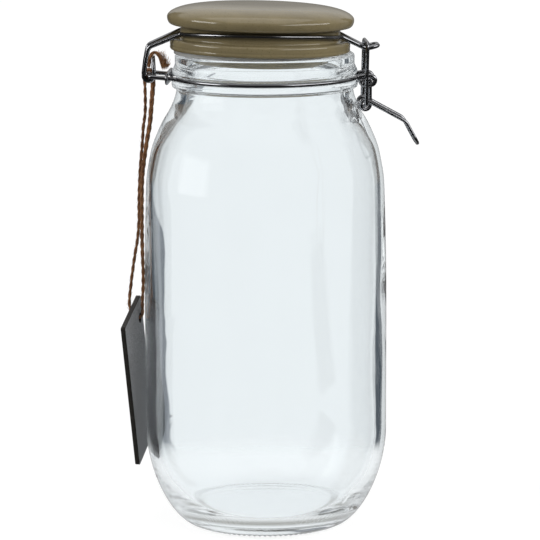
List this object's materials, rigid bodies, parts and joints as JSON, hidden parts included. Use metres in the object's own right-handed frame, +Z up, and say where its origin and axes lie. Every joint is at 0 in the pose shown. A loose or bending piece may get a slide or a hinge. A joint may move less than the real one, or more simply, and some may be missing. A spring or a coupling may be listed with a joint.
{
  "type": "glass storage jar with ceramic lid",
  "caption": "Tall clip-top glass storage jar with a domed glazed ceramic lid, wire hinge, wire lever clasp and a bare tag on twine.",
  "frame": {"origin": "centre of the flat face the jar stands on, on the jar's axis", "axes": "+Z up along the jar's axis, +X towards the lever clasp, -X towards the wire hinge, +Y away from the picture's camera"},
  "size_m": [0.1536, 0.1248, 0.2688],
  "materials": {
    "clear_glass": "clear, polished",
    "glazed_ceramic": "glossy olive-taupe glaze",
    "silicone": "translucent",
    "steel_wire": "polished steel wire, dark reflections",
    "jute": "two-ply brown jute",
    "chalk_board": "matt black board, chalky, bare"
  },
  "bodies": {
    "root": {"jar": "clear_glass", "neck_wire": "steel_wire", "neck_wire_ferrule": "steel_wire", "twine_cord": "jute", "twine_knot": "jute", "twine_end": "jute", "hang_tag": "chalk_board"},
    "lid_body": {"lid": "glazed_ceramic", "lid_seal": "silicone", "lid_wire": "steel_wire"},
    "lever_body": {"latch_lever": "steel_wire"},
    "link_body": {"latch_link": "steel_wire"}
  },
  "joints": [
    {"name": "lid_hinge", "type": "hinge", "parent": "root", "child": "lid_body", "pos_m": [-0.0591, 0, 0.233], "axis": [0, -1, 0], "range_deg": [0, 180]},
    {"name": "latch_lever_hinge", "type": "hinge", "parent": "root", "child": "lever_body", "pos_m": [0.05333, 0, 0.2299], "axis": [0, -1, 0], "range_deg": [0, 100]},
    {"name": "latch_link_hinge", "type": "hinge", "parent": "lever_body", "child": "link_body", "pos_m": [0.05088, 0, 0.21725], "axis": [0, -1, 0], "range_deg": [-90, 0]}
  ],
  "couplings": [
    {"joint": "latch_link_hinge", "follows": "latch_lever_hinge", "ratio": -0.9}
  ]
}
